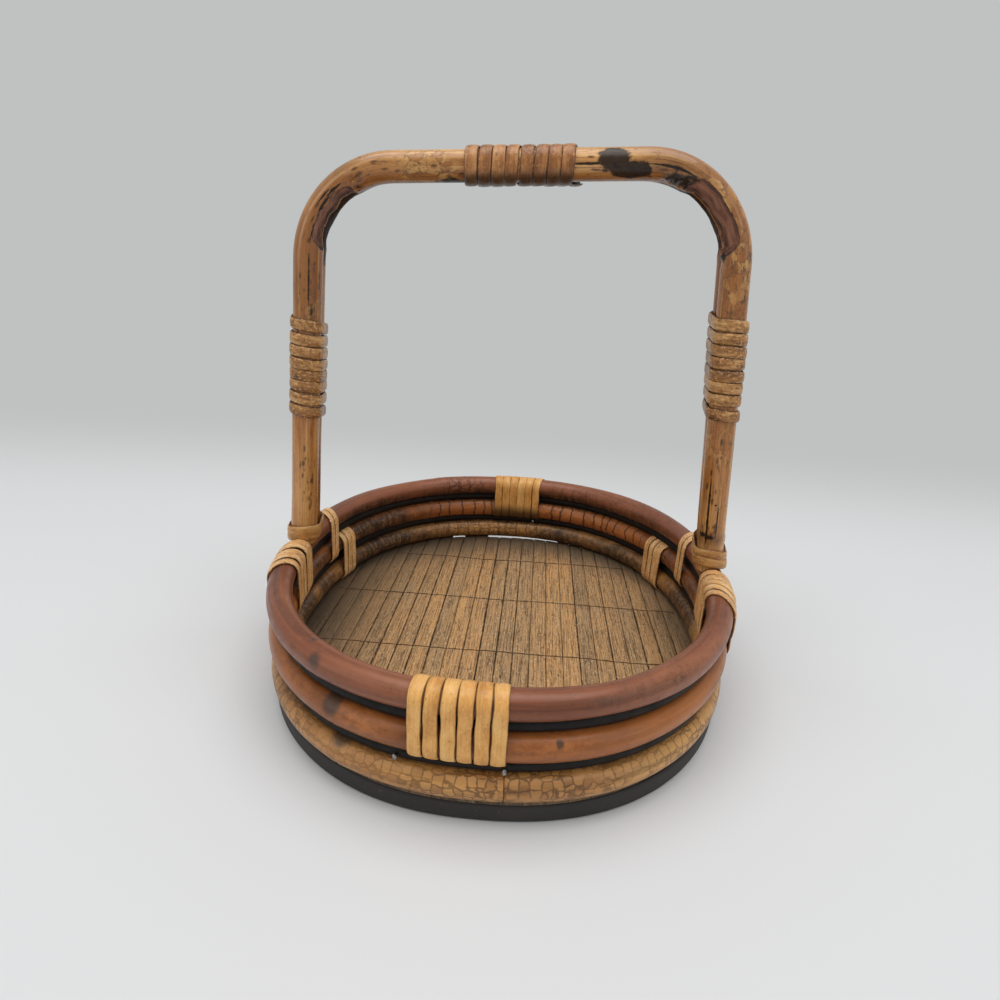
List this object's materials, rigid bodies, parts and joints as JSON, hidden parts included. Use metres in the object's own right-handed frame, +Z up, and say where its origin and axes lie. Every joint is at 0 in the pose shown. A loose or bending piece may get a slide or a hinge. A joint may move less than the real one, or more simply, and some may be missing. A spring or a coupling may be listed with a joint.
{
  "type": "oval handled basket",
  "caption": "Shallow oval tray basket of bent cane hoops on a black board, with a slatted bamboo floor and a tall double-cane handle bound with rattan peel.",
  "frame": {"origin": "middle of the board's underside, on the surface that the basket stands on", "axes": "+X along the handle bar to the right, +Y from front to back along the long oval axis, +Z up"},
  "size_m": [0.215, 0.2526, 0.2309],
  "materials": {
    "board_black": "matte black stain",
    "cane_tan": "satin varnish, crackled",
    "cane_orange": "satin varnish",
    "cane_red_brown": "satin varnish",
    "cane_dark": "dark stain",
    "handle_cane": "glossy, scorched in spots",
    "bamboo_slat": "matte split bamboo",
    "weft_thread": "twisted dark thread",
    "honey_peel": "satin rattan peel",
    "brown_peel": "glossy rattan peel",
    "bright_steel": "bright",
    "nail_steel": "plain"
  },
  "bodies": {
    "root": {"base_board": "board_black", "lower_hoop": "cane_tan", "middle_hoop": "cane_orange", "upper_hoop": "cane_red_brown", "lower_filler_cane": "cane_dark", "upper_filler_cane": "cane_dark", "front_handle_cane": "handle_cane", "rear_handle_cane": "handle_cane", "floor_slat_01": "bamboo_slat", "floor_slat_02": "bamboo_slat", "floor_slat_03": "bamboo_slat", "floor_slat_04": "bamboo_slat", "floor_slat_05": "bamboo_slat", "floor_slat_06": "bamboo_slat", "floor_slat_07": "bamboo_slat", "floor_slat_08": "bamboo_slat", "floor_slat_09": "bamboo_slat", "floor_slat_10": "bamboo_slat", "floor_slat_11": "bamboo_slat", "floor_slat_12": "bamboo_slat", "floor_slat_13": "bamboo_slat", "floor_slat_14": "bamboo_slat", "floor_slat_15": "bamboo_slat", "floor_slat_16": "bamboo_slat", "floor_slat_17": "bamboo_slat", "floor_slat_18": "bamboo_slat", "floor_slat_19": "bamboo_slat", "floor_slat_20": "bamboo_slat", "floor_slat_21": "bamboo_slat", "floor_slat_22": "bamboo_slat", "floor_slat_23": "bamboo_slat", "floor_slat_24": "bamboo_slat", "weft_thread_1": "weft_thread", "weft_thread_2": "weft_thread", "weft_thread_3": "weft_thread", "weft_thread_4": "weft_thread", "front_binding": "honey_peel", "back_binding": "honey_peel", "left_front_lashing": "honey_peel", "right_front_lashing": "honey_peel", "left_rear_lashing": "honey_peel", "right_rear_lashing": "honey_peel", "left_lower_lashing": "honey_peel", "right_lower_lashing": "honey_peel", "grip_binding": "brown_peel", "left_leg_binding": "brown_peel", "right_leg_binding": "brown_peel", "left_foot_band": "brown_peel", "right_foot_band": "brown_peel", "binding_brad_front_left": "bright_steel", "binding_brad_front_right": "bright_steel", "binding_brad_back": "bright_steel", "foot_nail_left_front": "nail_steel", "foot_nail_left_rear": "nail_steel", "foot_nail_right_front": "nail_steel", "foot_nail_right_rear": "nail_steel", "base_nail_left_front": "nail_steel", "base_nail_left_rear": "nail_steel", "base_nail_right_front": "nail_steel", "base_nail_right_rear": "nail_steel"}
  },
  "joints": []
}
